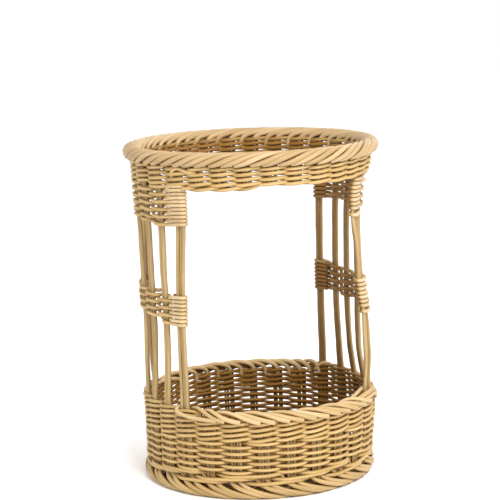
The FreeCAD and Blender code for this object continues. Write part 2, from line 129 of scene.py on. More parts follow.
def warp(p):
    x, y, z = p[:, 0], p[:, 1], p[:, 2]
    R = np.hypot(x, y)
    th = np.degrees(np.arctan2(x, -y))
    seen = th + VIEW
    dR = look_up(OUT, seen, z)
    dth = look_up(ROUND, seen, z)
    # slow unevenness all round, a millimetre or less
    dR = dR + 0.4 * np.sin(np.radians(3 * th + 40) + z * 0.011) + 0.25 * np.sin(np.radians(5 * th + 10) - z * 0.017)
    dz = 0.45 * np.sin(np.radians(2 * th + 70) + z * 0.02) * np.clip(z / 60.0, 0, 1) * np.clip((366 - z) / 20.0, 0, 1)
    dz = dz - 1.9 * bump(seen, 40, 40) * np.interp(z, [300, 332, 354, 367], [0, 1, 1, 0])
    return at(R + dR * np.clip(R / 60.0 - 0.6, 0, 1), th + dth, z + dz)


# ---- strands -----------------------------------------------------------------------------------------

def spline(points, step=2.0, closed=False):
    """A smooth curve through the points (centripetal Catmull-Rom), in steps of about the given length."""
    p = np.asarray(points, float)
    if closed:
        p = np.vstack([p[-1], p, p[0], p[1]])
    else:
        p = np.vstack([2 * p[0] - p[1], p, 2 * p[-1] - p[-2]])
    out = []
    for i in range(1, len(p) - 2):
        a, b, c, d = p[i - 1], p[i], p[i + 1], p[i + 2]
        n = max(2, int(np.ceil(np.linalg.norm(c - b) / step)))
        t0, t1 = 0.0, max(np.linalg.norm(b - a), 1e-6) ** 0.5
        t2 = t1 + max(np.linalg.norm(c - b), 1e-6) ** 0.5
        t3 = t2 + max(np.linalg.norm(d - c), 1e-6) ** 0.5
        t = np.linspace(t1, t2, n, endpoint=False)[:, None]
        A1 = (t1 - t) / (t1 - t0) * a + (t - t0) / (t1 - t0) * b
        A2 = (t2 - t) / (t2 - t1) * b + (t - t1) / (t2 - t1) * c
        A3 = (t3 - t) / (t3 - t2) * c + (t - t2) / (t3 - t2) * d
        B1 = (t2 - t) / (t2 - t0) * A1 + (t - t0) / (t2 - t0) * A2
        B2 = (t3 - t) / (t3 - t1) * A2 + (t - t1) / (t3 - t1) * A3
        out.append((t2 - t) / (t2 - t1) * B1 + (t - t1) / (t2 - t1) * B2)
    if not closed:
        out.append(p[-2][None])
    return np.vstack(out)


def smooth_noise(s, wavelength, amount):
    """Slow random wandering along a strand, from a few sine waves."""
    v = np.zeros_like(s)
    for k in (1.0, 1.7, 2.9):
        v += np.sin(s * 2 * np.pi * k / wavelength + rng.uniform(0, 2 * np.pi)) / k
    return v * amount / 1.9


class Canes:
    """Strands that become one mesh: round canes with cut ends, one UV strip to each length of cane."""

    def __init__(self, name):
        self.name = name
        self.v, self.f, self.cane, self.tone, self.cream, self.flat = [], [], [], [], [], []
        self.uvs, self.strips, self.count = [], [], 0

    def add(self, pts, radius, sides=10, closed=False, tone=None, hollow="weave", warped=True, wander=0.0, cuts=True, cream=None):
        p = np.asarray(pts, float)
        middle = np.hypot(p[:, 0], p[:, 1])
        if hollow == "weave":          # how deep in the wall each point lies, for the painted shade of the crevices
            th0 = np.degrees(np.arctan2(p[:, 0], -p[:, 1]))
            w = at(wall(p[:, 2]), th0, p[:, 2])
            w = warp(w) if warped else w
            middle = np.hypot(w[:, 0], w[:, 1])
            woven = sum(np.clip((p[:, 2] - a) / 4.0, 0, 1) * np.clip((b - p[:, 2]) / 4.0, 0, 1) for a, b in ((12, 96), (179, 219), (288, 360)))
            woven = np.where(np.abs(p[:, 2] - 199) < 22, woven * (np.abs(((th0 + 360) % 180) - 90) < 40), woven)
        if warped:
            p = warp(p)
        n = len(p)
        nxt, prv = (np.roll(p, -1, 0), np.roll(p, 1, 0)) if closed else (np.vstack([p[1:], p[-1:]]), np.vstack([p[:1], p[:-1]]))
        t = nxt - prv
        t /= np.linalg.norm(t, axis=1)[:, None]
        seg = np.linalg.norm(np.diff(p, axis=0), axis=1)
        s = np.concatenate([[0.0], np.cumsum(seg)])
        # frames that don't twist
        nrm = np.zeros_like(p)
        ref = np.array([0.0, 0.0, 1.0]) if abs(t[0][2]) < 0.8 else np.array([p[0][0], p[0][1], 0.0]) / max(np.hypot(p[0][0], p[0][1]), 1e-6)
        u = ref - t[0] * (ref @ t[0])
        nrm[0] = u / np.linalg.norm(u)
        for i in range(1, n):
            v1 = p[i] - p[i - 1]
            c1 = v1 @ v1
            if c1 < 1e-12:
                nrm[i] = nrm[i - 1]
                continue
            rl = nrm[i - 1] - (2 / c1) * (v1 @ nrm[i - 1]) * v1
            tl = t[i - 1] - (2 / c1) * (v1 @ t[i - 1]) * v1
            v2 = t[i] - tl
            c2 = v2 @ v2
            w = rl if c2 < 1e-12 else rl - (2 / c2) * (v2 @ rl) * v2
            nrm[i] = w / np.linalg.norm(w)
        b = np.cross(t, nrm)
        if closed:  # share the leftover twist out along the ring
            last = nrm[-1] - t[0] * (nrm[-1] @ t[0])
            ang = math.atan2(last @ b[0], last @ nrm[0])
            turn = -ang * np.arange(n) / n
            nrm, b = (
                nrm * np.cos(turn)[:, None] + b * np.sin(turn)[:, None],
                b * np.cos(turn)[:, None] - nrm * np.sin(turn)[:, None],
            )
        if wander and not closed:
            fade = np.clip(np.minimum(s, s[-1] - s) / 12.0, 0, 1)
            p = p + nrm * (smooth_noise(s, 55.0, wander) * fade)[:, None] + b * (smooth_noise(s, 70.0, wander) * fade)[:, None]
        r = np.full(n, float(radius)) if np.isscalar(radius) else np.asarray(radius, float).copy()
        if not closed:
            r = r * (1.0 + smooth_noise(s, 90.0, 0.02))
        tone = float(np.clip(rng.normal(0.5, 0.2), 0, 1)) if tone is None else tone
        shift = rng.uniform(0, 400, 3)
        ang = np.arange(sides) * 2 * np.pi / sides
        ca, sa = np.cos(ang), np.sin(ang)
        ring = lambda q, nn, bb, rr: q + rr * (ca[:, None] * nn + sa[:, None] * bb)
        verts, along = [], []
        if not closed and cuts:  # a slightly rounded, blunt cut at each end
            verts.append(ring(p[0] - t[0] * 0.16 * r[0], nrm[0], b[0], 0.8 * r[0]))
            along.append(s[0] - 0.16 * r[0])
        base = p[:, None, :] + r[:, None, None] * (ca[None, :, None] * nrm[:, None, :] + sa[None, :, None] * b[:, None, :])
        verts.extend(list(base))
        along.extend(list(s))
        if not closed and cuts:
            verts.append(ring(p[-1] + t[-1] * 0.16 * r[-1], nrm[-1], b[-1], 0.8 * r[-1]))
            along.append(s[-1] + 0.16 * r[-1])
        verts = np.array(verts)
        along = np.array(along)
        m = len(verts)
        first = self.count
        self.v.append(verts.reshape(-1, 3))
        rr = float(np.mean(r))
        cane = np.stack([
            np.repeat(along + shift[0], sides),
            np.tile(ca * rr + shift[1], m),
            np.tile(sa * rr + shift[2], m),
        ], -1)
        self.cane.append(cane)
        self.tone.append(np.full(m * sides, tone))
        capped = (lambda v: v) if closed or not cuts else (lambda v: np.concatenate([v[:1], v, v[-1:]]))
        # painted highlight: how much paler each point of the cane is painted
        self.cream.append(np.repeat(capped(np.zeros(n) if cream is None else cream), sides))
        centre = capped(p)[:, None, :]
        off = verts - centre
        off = off / np.maximum(np.linalg.norm(off, axis=2), 1e-9)[:, :, None]
        # painted shade: a darkness for each vertex that the material mixes into the colour; on the weave it grows
        # behind the stakes and on the inside of the wall
        if hollow == "weave":
            d = np.hypot(verts[:, :, 0], verts[:, :, 1]) - capped(middle)[:, None]
            dark = np.clip((1.6 - d) / 4.2, 0, 1)
            # painted shade on the top and bottom of each weaver, where the rows press together
            dark = np.maximum(dark, 0.52 * np.clip((np.abs(off[:, :, 2]) - 0.5) / 0.5, 0, 1) ** 1.3)
            dark = dark * capped(woven)[:, None]
            # less painted shade where an edge wrap has its painted highlight
            if cream is not None:
                dark = dark * (1 - 0.75 * capped(np.asarray(cream)))[:, None]
        elif hollow == "rod":
            # painted shade on a rod: darker on its inward side and where it runs inside the woven bands
            out = centre[:, :, :2] / np.maximum(np.hypot(centre[:, :, 0], centre[:, :, 1]), 1.0)[:, :, None]
            dark = 0.8 * np.clip((0.15 - (off[:, :, :2] * out).sum(2)) / 0.9, 0, 1)
            dark = np.maximum(dark, np.interp(centre[:, :, 2], [10, 27, 31, 60, 64, 82, 90], [0.7, 0.6, 0.1, 0.1, 0.55, 0.6, 0.0]))
        elif isinstance(hollow, tuple):     # a strand of a rope with its middle at this radius and height: painted shade on its side towards the rope's middle, between the strands
            rad = np.hypot(centre[:, :, 0], centre[:, :, 1])
            out = centre[:, :, :2] / np.maximum(rad, 1.0)[:, :, None]
            a, b_ = rad - hollow[0], centre[:, :, 2] - hollow[1]
            n_ = np.maximum(np.hypot(a, b_), 1e-6)
            c_ = (off[:, :, :2] * out).sum(2) * a / n_ + off[:, :, 2] * b_ / n_
            dark = 0.95 * np.clip((0.42 - c_) / 0.75, 0, 1) ** 1.2
        elif hollow is None:
            dark = np.zeros((m, sides))
        else:
            dark = np.full((m, sides), float(hollow))
        self.flat.append(dark.ravel())
        i = np.arange(m if closed else m - 1)
        j = np.arange(sides)
        I, J = np.meshgrid(i, j, indexing="ij")
        I2, J2 = (I + 1) % m, (J + 1) % sides
        quads = np.stack([first + I * sides + J, first + I * sides + J2, first + I2 * sides + J2, first + I2 * sides + J], -1).reshape(-1, 4)
        self.f.append(quads)
        length = np.append(along, along[-1] + (np.linalg.norm(p[0] - p[-1]) if closed else 0.0)) - along[0]
        self.strips.append((length, 2 * math.pi * rr, len(i), sides, None if closed or not cuts else (first, first + (m - 1) * sides, rr)))
        self.count += m * sides
        return p

    def pack(self):
        """Lays each cane's skin in rows of a square, cutting it where a row is full."""
        total = sum(st[0][st[2]] * (st[1] + 0.9) for st in self.strips) + sum(4 * (2.4 * st[4][2]) ** 2 for st in self.strips if st[4])
        side = math.sqrt(total) * 1.03
        while True:
            x, y, rows, fits = 0.0, 0.0, [], True
            gap = side * 0.0022
            height = 0.0
            for length, around, n, sides, caps in self.strips:
                i, cells = 0, []
                while i < n:
                    if height and abs(around - height) > 1e-6 and x > 0:
                        if around > height:
                            x, y = 0.0, y + height + gap
                            height = around
                    if not height:
                        height = around
                    room = side - x
                    k = int(np.searchsorted(length, length[i] + room, side="right")) - 1
                    if k <= i:
                        x, y, height = 0.0, y + height + gap, around
                        k = int(np.searchsorted(length, length[i] + side, side="right")) - 1
                        k = max(k, i + 1)
                    k = min(k, n)
                    cells.append((i, k, x, y))
                    x += length[k] - length[i] + gap
                    i = k
                    if x >= side - 3 * gap:
                        x, y, height = 0.0, y + height + gap, 0.0
                ends = []
                if caps:
                    size = 2.2 * caps[2]
                    for _ in range(2):
                        if x + size > side:
                            x, y, height = 0.0, y + height + gap, 0.0
                        if not height:
                            height = size
                        ends.append((x, y, size))
                        x += size + gap
                rows.append((cells, ends))
            if y + height <= side:
                return side, rows
            side *= 1.02

    def build(self, material, replaces=()):
        side, rows = self.pack()
        verts = np.vstack(self.v) * 0.001
        quads = np.vstack(self.f)
        caps, cap_uv, cap_len = [], [], []
        uv = np.zeros((len(quads), 4, 2))
        q = 0
        for (length, around, n, sides, ends), (cells, spots) in zip(self.strips, rows):
            for i0, i1, x, y in cells:
                ii = np.arange(i0, i1)
                u0 = (x + length[ii] - length[i0]) / side
                u1 = (x + length[ii + 1] - length[i0]) / side
                jj = np.arange(sides)
                v0 = (y + around * jj / sides) / side
                v1 = (y + around * (jj + 1) / sides) / side
                block = np.zeros((len(ii), sides, 4, 2))
                block[:, :, 0, 0] = block[:, :, 1, 0] = u0[:, None]
                block[:, :, 2, 0] = block[:, :, 3, 0] = u1[:, None]
                block[:, :, 0, 1] = block[:, :, 3, 1] = v0[None]
                block[:, :, 1, 1] = block[:, :, 2, 1] = v1[None]
                uv[q + i0 * sides:q + i1 * sides] = block.reshape(-1, 4, 2)
            q += n * sides
            if ends:
                for which, (x, y, size) in enumerate(spots):
                    a = np.arange(sides)
                    loop = ends[which] + (a[::-1] if which == 0 else a)
                    ang = 2 * np.pi * (a[::-1] if which == 0 else a) / sides
                    caps.append(loop)
                    cap_uv.append(np.stack([(x + size / 2 + 0.45 * size * np.cos(ang)) / side, (y + size / 2 + 0.45 * size * np.sin(ang)) / side], -1))
                    cap_len.append(sides)
        mesh = bpy.data.meshes.new(self.name)
        loops = np.concatenate([quads.ravel()] + [c for c in caps]) if caps else quads.ravel()
        sizes = np.concatenate([np.full(len(quads), 4), np.array(cap_len, int)]) if caps else np.full(len(quads), 4)
        starts = np.concatenate([[0], np.cumsum(sizes)[:-1]])
        mesh.vertices.add(len(verts))
        mesh.vertices.foreach_set("co", verts.ravel())
        mesh.loops.add(len(loops))
        mesh.loops.foreach_set("vertex_index", loops.astype(np.int32))
        mesh.polygons.add(len(sizes))
        mesh.polygons.foreach_set("loop_start", starts.astype(np.int32))
        smooth = np.ones(len(sizes), bool)
        smooth[len(quads):] = False
        mesh.update(calc_edges=True)
        mesh.polygons.foreach_set("use_smooth", smooth)
        layer = mesh.uv_layers.new(name="OFBake")
        flat = np.concatenate([uv.reshape(-1, 2)] + cap_uv) if caps else uv.reshape(-1, 2)
        layer.data.foreach_set("uv", flat.ravel())
        a = mesh.attributes.new("cane", "FLOAT_VECTOR", "POINT")
        a.data.foreach_set("vector", (np.vstack(self.cane)).ravel())
        a = mesh.attributes.new("tone", "FLOAT", "POINT")
        a.data.foreach_set("value", np.concatenate(self.tone))
        a = mesh.attributes.new("shade", "FLOAT", "POINT")
        a.data.foreach_set("value", np.concatenate(self.flat))
        a = mesh.attributes.new("cream", "FLOAT", "POINT")
        a.data.foreach_set("value", np.concatenate(self.cream))
        a = mesh.attributes.new("tip", "FLOAT", "CORNER")
        tip = np.zeros(len(loops))
        tip[len(quads) * 4:] = 1.0
        a.data.foreach_set("value", tip)
        mesh.validate()
        mesh.update()
        obj = bpy.data.objects.new(self.name, mesh)
        bpy.context.scene.collection.objects.link(obj)
        mesh.materials.append(material)
        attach(obj, "root")
        if replaces:
            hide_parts(*replaces)
        print("%-26s strands %4d  triangles %7d  sheet %.0f mm" % (self.name, len(self.strips), len(quads) * 2 + sum(c - 2 for c in cap_len), side))
        return obj


# ---- materials -----------------------------------------------------------------------------------------

def cane_material(name, pale, mid, deep, rough=0.5, streak=1.0):
    """Peeled natural cane: long fine fibres, slow changes of tone along a cane, a soft waxy sheen, pithy cut ends, with
    the painted shade and painted highlight that the mesh carries.
    """
    mat = bpy.data.materials.new(name)
    mat.use_nodes = True
    nt = mat.node_tree
    nt.nodes.clear()
    N, L = nt.nodes.new, nt.links.new
    out = N("ShaderNodeOutputMaterial")
    bsdf = N("ShaderNodeBsdfPrincipled")
    L(bsdf.outputs[0], out.inputs[0])
    cane = N("ShaderNodeAttribute"); cane.attribute_name = "cane"
    tone = N("ShaderNodeAttribute"); tone.attribute_name = "tone"
    tip = N("ShaderNodeAttribute"); tip.attribute_name = "tip"
    shade = N("ShaderNodeAttribute"); shade.attribute_name = "shade"
    cream = N("ShaderNodeAttribute"); cream.attribute_name = "cream"

    def mapped(scale):
        m = N("ShaderNodeMapping")
        m.inputs["Scale"].default_value = scale
        L(cane.outputs["Vector"], m.inputs["Vector"])
        return m.outputs[0]

    def noise(vec, scale, detail=2.0, rough_=0.55):
        n = N("ShaderNodeTexNoise")
        n.inputs["Scale"].default_value = scale
        n.inputs["Detail"].default_value = detail
        n.inputs["Roughness"].default_value = rough_
        L(vec, n.inputs["Vector"])
        return n.outputs["Fac"]

    def math_(op, a, b=None, clamp=False):
        m = N("ShaderNodeMath"); m.operation = op; m.use_clamp = clamp
        for i, x in enumerate((a, b)):
            if x is None:
                continue
            if isinstance(x, (int, float)):
                m.inputs[i].default_value = x
            else:
                L(x, m.inputs[i])
        return m.outputs[0]

    def remap(x, a, b, c, d):
        m = N("ShaderNodeMapRange")
        m.inputs["From Min"].default_value, m.inputs["From Max"].default_value = a, b
        m.inputs["To Min"].default_value, m.inputs["To Max"].default_value = c, d
        L(x, m.inputs["Value"])
        return m.outputs[0]

    def mix(fac, a, b, blend="MIX"):
        m = N("ShaderNodeMix"); m.data_type = "RGBA"; m.blend_type = blend
        for sock, x in ((m.inputs[0], fac), (m.inputs[6], a), (m.inputs[7], b)):
            if isinstance(x, (int, float)):
                sock.default_value = x
            elif isinstance(x, tuple):
                sock.default_value = (*x, 1.0)
            else:
                L(x, sock)
        return m.outputs[2]

    fibre = noise(mapped((0.035, 2.6, 2.6)), 1.0, 3.0, 0.6)      # long fibres
    fine = noise(mapped((0.12, 7.0, 7.0)), 1.0, 2.0, 0.6)        # fine pores and fibres
    slow = noise(mapped((0.02, 0.12, 0.12)), 1.0, 2.0, 0.5)      # changes along a cane
    blotch = noise(mapped((0.16, 0.35, 0.35)), 1.0, 3.0, 0.6)    # faint marks and bruises

    t = math_("ADD", remap(tone.outputs["Fac"], 0, 1, -0.32, 0.32), remap(slow, 0.3, 0.7, -0.22, 0.22))
    t = math_("ADD", t, remap(fibre, 0.3, 0.7, -0.26 * streak, 0.26 * streak))
    t = math_("ADD", t, remap(fine, 0.3, 0.7, -0.10 * streak, 0.10 * streak))
    t = math_("ADD", t, 0.5, clamp=True)
    ramp = N("ShaderNodeValToRGB")
    ramp.color_ramp.interpolation = "B_SPLINE"
    e = ramp.color_ramp.elements
    e[0].position, e[0].color = 0.0, (*deep, 1)
    e[1].position, e[1].color = 1.0, (*pale, 1)
    m_ = e.new(0.5); m_.color = (*mid, 1)
    L(t, ramp.inputs[0])
    mark = remap(blotch, 0.62, 0.8, 0.0, 0.35)
    colour = mix(mark, ramp.outputs[0], tuple(0.72 * c for c in deep))
    colour = mix(math_("MULTIPLY", tip.outputs["Fac"], 0.55), colour, tuple(0.62 * c + 0.06 for c in mid))
    # painted highlight: the outer side of the edge wraps is mixed towards a pale cream
    colour = mix(math_("MULTIPLY", cream.outputs["Fac"], 0.75), colour, mix(t, (0.55, 0.41, 0.25), (0.70, 0.565, 0.395)))
    # painted shade: the colour darkens towards a deep brown in the crevices and on the inside of the wall, where shade
    # falls
    colour = mix(math_("MULTIPLY", shade.outputs["Fac"], 0.95), colour, mix(1.0, colour, (0.42, 0.27, 0.045), "MULTIPLY"))
    L(colour, bsdf.inputs["Base Color"])
    L(remap(math_("ADD", fibre, fine), 0.6, 1.4, rough + 0.1, rough - 0.1), bsdf.inputs["Roughness"])
    bsdf.inputs["Specular IOR Level"].default_value = 0.32
    bsdf.inputs["Coat Weight"].default_value = 0.07
    bsdf.inputs["Coat Roughness"].default_value = 0.35
    bsdf.inputs["Sheen Weight"].default_value = 0.0
    h = math_("ADD", math_("MULTIPLY", fibre, 1.0), math_("MULTIPLY", fine, 0.5))
    bp = N("ShaderNodeBump")
    bp.inputs["Strength"].default_value = 0.35 * streak
    bp.inputs["Distance"].default_value = 0.00022
    L(h, bp.inputs["Height"])
    L(bp.outputs[0], bsdf.inputs["Normal"])
    return mat


PALE, MID, DEEP = (0.66, 0.465, 0.21), (0.55, 0.365, 0.138), (0.38, 0.235, 0.074)
weaver_mat = cane_material("weaver_cane", PALE, MID, DEEP, 0.50)
stake_mat = cane_material("stake_cane", (0.53, 0.38, 0.18), (0.425, 0.29, 0.118), (0.28, 0.175, 0.062), 0.48, 1.4)
# painted shade: the rim's (border) and the foot's copies of the cane colour are darker than the weavers', against the
# stronger light on the rim from the key lamp and the light thrown up from the floor onto the foot; the sill's copy
# stays close to the weavers'
border_mat = cane_material("border_cane", (0.57, 0.42, 0.235), (0.485, 0.332, 0.16), (0.36, 0.225, 0.088), 0.48)
sill_mat = cane_material("sill_cane", (0.64, 0.475, 0.255), (0.545, 0.378, 0.175), (0.41, 0.26, 0.10), 0.47)
foot_mat = cane_material("foot_cane", (0.58, 0.41, 0.20), (0.48, 0.32, 0.13), (0.34, 0.21, 0.075), 0.50)
# painted shade: a darker cane for the rim's core, the dark seen between the rim strands
shaded_core_mat = cane_material("core_cane", (0.40, 0.26, 0.13), (0.30, 0.19, 0.09), (0.20, 0.12, 0.06), 0.65)

# ---- woven rows ------------------------------------------------------------------------------------------

WEAVER = 1.84      # radius of a weaver
SIDES = 10
DIV = 14


def plateau(c, k=1.25):
    return np.tanh(k * c) / np.tanh(k)


def ring_angles(t, centres):
    """Angle of group coordinate t, for groups at the given centres (closed ring)."""
    n = len(centres)
    c = np.append(centres, centres[0] + 360.0)
    return np.interp(t, np.arange(n + 1), c)


EVEN = np.arange(GROUPS) * STEP


def jitter(n, amount, div):
    """One small random step for each group, joined smoothly."""
    k = rng.normal(0, amount, n)
    x = np.arange(n * div) / div
    i = x.astype(int)
    f = (1 - np.cos((x - i) * np.pi)) / 2
    return k[i % n] * (1 - f) + k[(i + 1) % n] * f


def randing_row(canes, z, phase, centres=EVEN, reach=3.75, radius=WEAVER):
    n = len(centres)
    t = np.arange(n * DIV) / DIV
    c = np.cos(np.pi * t) * phase
    R = wall(z) + reach * plateau(c) + jitter(n, 0.22, DIV)
    zz = z + jitter(n, 0.22, DIV)
    r = radius * (0.93 + 0.07 * c * c)
    canes.add(at(R, ring_angles(t, centres), zz), r, SIDES, closed=True)


def pairing_row(canes, z, lean, rise, centres=EVEN, reach=3.75, radius=WEAVER, start=0):
    """Two weavers that change places between groups; the one in front climbs by rise as it crosses a group."""
    n = len(centres)
    t = np.arange(n * DIV) / DIV
    for half in (0, 1):
        c = np.cos(np.pi * (t - half - start))
        s = np.sin(np.pi * (t - half - start))
        R = wall(z) + reach * plateau(c, 1.1) + jitter(n, 0.2, DIV)
        zz = z + lean * rise * s + jitter(n, 0.2, DIV)
        r = radius * (0.90 + 0.10 * c * c)
        canes.add(at(R, ring_angles(t, centres), zz), r, SIDES, closed=True)


def wale_row(canes, z, phase, rise, reach=3.8, radius=WEAVER, centres=EVEN):
    """A weaver that runs in front of two groups and behind the third, with its ends tucked inside."""
    n = len(centres)
    first = (phase % 3) + 12.0
    t = np.arange(0, n * DIV + DIV // 2) / DIV + first
    k = (t - phase) % 3.0                      # 0 behind, 1 and 2 in front
    d = np.minimum(k, 3.0 - k)
    b = np.where(d < 0.9, 0.5 * (1 + np.cos(np.pi * d / 0.9)), 0.0)
    R = wall(z) + reach * (1 - 2 * b)
    front = np.clip((k - 0.5) / 2.0, 0, 1)
    back = np.where(k < 0.5, 0.5 - k, 3.5 - k)     # 1 just after diving, 0 just before coming out
    lift = np.where((k >= 0.5) & (k <= 2.5), -rise + 2 * rise * front, -rise + 2 * rise * np.clip(back, 0, 1))
    lift = np.convolve(np.pad(lift, 4, mode="edge"), np.ones(9) / 9, mode="valid")
    th = (np.interp(t % n, np.arange(n + 1), np.append(centres, centres[0] + 360.0)))
    canes.add(at(R, th, z + lift + smooth_noise(t * 30, 60, 0.2)), radius, SIDES)


lower = Canes("lower_wall_strands")
for j in range(10):
    randing_row(lower, 28.2 + 3.5 * j, 1 if j % 2 == 0 else -1)
lower.build(weaver_mat, ["lower_wall_weave"])

bottom = Canes("bottom_wale_strands")
for j in range(3):
    wale_row(bottom, 17.1 + 3.85 * j, j, 1.2, radius=2.02)
bottom.build(weaver_mat, ["bottom_wale"])

top = Canes("top_wale_strands")
for j in range(4):
    pairing_row(top, 64.3 + 5.65 * j, 1, 1.35, start=j % 2, radius=1.92)
top.build(weaver_mat, ["top_wale"])

# over a window the upper band has eight groups of its own
W = 4 * STEP
band_centres = []
for i in range(8):
    band_centres.append(-W + (i + 1) * 2 * W / 9)
for k in range(4, 10):
    band_centres.append(k * STEP)
for i in range(8):
    band_centres.append(180 - W + (i + 1) * 2 * W / 9)
for k in range(17, 23):
    band_centres.append(k * STEP)
band_centres = np.array(band_centres)

band = Canes("upper_band_strands")
for j in range(5):
    pairing_row(band, 335.9 + 5.35 * j, 1, 0.95, centres=band_centres, reach=4.0, radius=2.0)
for base in (0.0, 180.0):      # a short extra row below, that runs out along the window
    for half in (0, 1):
        t = np.arange(0, int(3.2 * DIV)) / DIV
        u = t / t[-1]
        th = base - W + 3.0 + 39.0 * u
        c = np.cos(np.pi * (t * 1.0 - half))
        band.add(at(wall(331.4) + 3.8 * plateau(c, 1.1) * np.clip((1 - u) / 0.2, 0.1, 1), th, 331.4 + 1.2 * np.sin(np.pi * (t - half)) + 2.6 * np.clip((u - 0.7) / 0.3, 0, 1) ** 2), 1.75, SIDES)
band.build(weaver_mat, ["upper_band_weave"])


# ---- panels: rows that go back and forth over six groups and turn round the edge pairs ------------------

def panel_row(canes, sign, j, levels, parity=0, first=0, last=5, reach=3.95, radius=1.9, spread=0.0):
    """Row j over groups first ... last of a panel (0 is the front edge pair). levels gives its height at each
    group. It passes in front of an edge pair, turns round its outer side and tucks its end in behind."""
    z0 = levels[0]
    side = math.radians(STEP) * wall(z0)              # distance between groups along the wall
    pts = []

    def put(u, r, dz=0.0):
        k = min(max(u / side, -0.4), 5.4)
        z = float(np.interp(k, range(6), levels))
        pts.append((sign * (4 * STEP + math.degrees(u / wall(z))), wall(z) + r, z + dz))

    # how far the edge pair's outside is from its middle, and the strand's way round it
    e = 4.9 if sign > 0 else 6.3
    turn = [(16.5, -4.0, 0.7), (9.0, -4.0, 0.3), (2.0, -3.85, 0.1), (2.6 - e, -3.6, 0.0), (0.6 - e, -2.5, 0.0), (-0.95 - e, -0.2, 0.0), (0.5 - e, 2.3, 0.0), (2.4 - e, 3.65, 0.0), (0.5, 3.9, 0.0), (4.3, 4.1, 0.0)]
    dirt = lambda a: rng.normal(0, a)
    if first == 0:
        for u, r, dz in turn:
            put(u, r, dz + spread)
    else:
        put((first - 0.55) * side, -4.0, 1.2)
        put((first - 0.3) * side, -2.2, 0.6)
    for i in range(first, last):
        for f in (0.24, 0.36, 0.5, 0.64, 0.76, 0.88, 1.0, 1.12):
            t = i + f
            if (first == 0 and t < 0.33) or (last == 5 and t > 4.67) or t > last + 0.05:
                continue
            c = math.cos(math.pi * (t + j + parity))
            r = reach * float(plateau(c))
            if first == 0 and t < 0.95:               # from in front of the edge pair
                w = max(0.0, min(1.0, (t - 0.3) / 0.6))
                r = (1 - w) * 4.15 + w * r
            if last == 5 and t > 4.05:
                w = max(0.0, min(1.0, (4.7 - t) / 0.6))
                r = (1 - w) * 4.15 + w * r
            put(t * side, r + dirt(0.1), dirt(0.12))
    if last == 5:
        for u, r, dz in turn[::-1]:
            put(5 * side - u, r, dz + spread)
    else:
        put((last + 0.3) * side, -2.2, 0.3)
        put((last + 0.55) * side, -4.0, 0.8)
    p = np.array(pts)
    path = spline(at(p[:, 1], p[:, 0], p[:, 2]), 1.25)
    # the strands that turn round an edge pair are drawn tight; their outer side gets a painted highlight, paler cream,
    # weaker on the left panel
    th = sign * np.degrees(np.arctan2(path[:, 0], -path[:, 1]))
    edge = np.minimum(np.abs(th - 4 * STEP), np.abs(th - 9 * STEP))
    outer = np.clip((np.hypot(path[:, 0], path[:, 1]) - wall(path[:, 2]) + 1.0) / 3.0, 0, 1)
    canes.add(path, radius, SIDES, cream=np.clip((6.2 - edge) / 3.0, 0, 1) * outer * rng.uniform(0.75, 1.0) * (1.0 if sign > 0 else 0.72))


def fan(j, edge, near, mid, far):
    """Heights of row j at groups 0..5 of a panel, from (top, pitch) at the edge and further in."""
    e, n, m, f = (a - b * j for a, b in (edge, near, mid, far))
    return [e, n, m, f, n, e]


